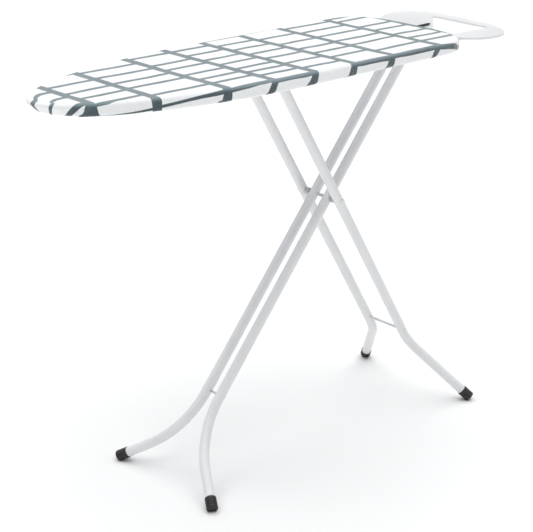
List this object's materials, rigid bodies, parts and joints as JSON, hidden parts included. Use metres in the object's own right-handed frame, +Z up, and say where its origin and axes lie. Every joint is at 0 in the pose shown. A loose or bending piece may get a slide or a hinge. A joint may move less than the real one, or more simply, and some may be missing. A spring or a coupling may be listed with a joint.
{
  "type": "ironing board",
  "caption": "Folding ironing board with crossed tubular legs, a padded cloth cover and a slotted plate at the tail for the hot iron.",
  "frame": {"origin": "on the floor, under the middle of the whole object's box", "axes": "+X from the board's nose to its iron rest, +Y to the left of someone who looks along +X, +Z up"},
  "size_m": [1.232, 0.3658, 0.9],
  "materials": {
    "white_enamel": "white powder coat, satin, with a faint orange-peel texture",
    "zinc_steel": "bright zinc plate on mild steel",
    "black_plastic": "fine matt moulded texture",
    "black_silicone": "matt heat-resistant silicone",
    "grey_plastic": "smooth moulded nylon",
    "pad_felt": "needled felt",
    "cover_cotton": "plain-weave cotton, white with a blue-grey check"
  },
  "bodies": {
    "board": {"cover": "cover_cotton", "foam_pad": "pad_felt", "board_panel": "white_enamel", "rib_nose": "white_enamel", "rib_middle": "white_enamel", "rib_tail": "white_enamel", "hinge_bracket_left": "zinc_steel", "hinge_bracket_right": "zinc_steel", "hinge_screw_left_1": "zinc_steel", "hinge_screw_left_2": "zinc_steel", "hinge_screw_right_1": "zinc_steel", "hinge_screw_right_2": "zinc_steel", "hinge_rod": "zinc_steel", "height_rack": "zinc_steel", "rack_rivet_1": "zinc_steel", "rack_rivet_2": "zinc_steel", "rack_rivet_3": "zinc_steel", "slide_guide_left": "zinc_steel", "slide_guide_right": "zinc_steel", "lever_post": "zinc_steel", "lever_clip": "zinc_steel", "lever_spring": "zinc_steel", "iron_rest_plate": "white_enamel", "iron_rest_arm_left": "white_enamel", "iron_rest_arm_right": "white_enamel", "arm_socket_left": "black_plastic", "arm_socket_right": "black_plastic", "iron_rest_strip": "black_silicone"},
    "hinged_frame": {"hinged_tube_left": "white_enamel", "hinged_tube_right": "white_enamel", "hinged_foot_left": "black_plastic", "hinged_foot_right": "black_plastic", "hinged_spacer_rod": "zinc_steel", "hinge_sleeve": "grey_plastic", "pivot_rod": "zinc_steel", "pivot_bush_left": "grey_plastic", "pivot_bush_right": "grey_plastic"},
    "sliding_frame": {"sliding_tube_left": "white_enamel", "sliding_tube_right": "white_enamel", "sliding_foot_left": "black_plastic", "sliding_foot_right": "black_plastic", "sliding_spacer_rod": "zinc_steel", "slide_bar": "zinc_steel", "slide_bar_cap_left": "black_plastic", "slide_bar_cap_right": "black_plastic"},
    "release_lever": {"lever_arm": "zinc_steel", "lever_grip": "black_plastic"}
  },
  "joints": [
    {"name": "leg_fold", "type": "hinge", "parent": "board", "child": "hinged_frame", "pos_m": [0.3927, 0, 0.862], "axis": [0, 1, 0], "range_deg": [0, 48.3]},
    {"name": "scissor", "type": "hinge", "parent": "hinged_frame", "child": "sliding_frame", "pos_m": [0.1395, 0, 0.557], "axis": [0, 1, 0], "range_deg": [-104.6, 0]},
    {"name": "lever_swing", "type": "hinge", "parent": "board", "child": "release_lever", "pos_m": [0.005, 0.096, 0.863], "axis": [0, 0, -1], "range_deg": [0, 12], "stiffness_Nm_per_rad": 0.5}
  ],
  "couplings": [
    {"joint": "scissor", "follows": "leg_fold", "ratio": -2.165}
  ]
}
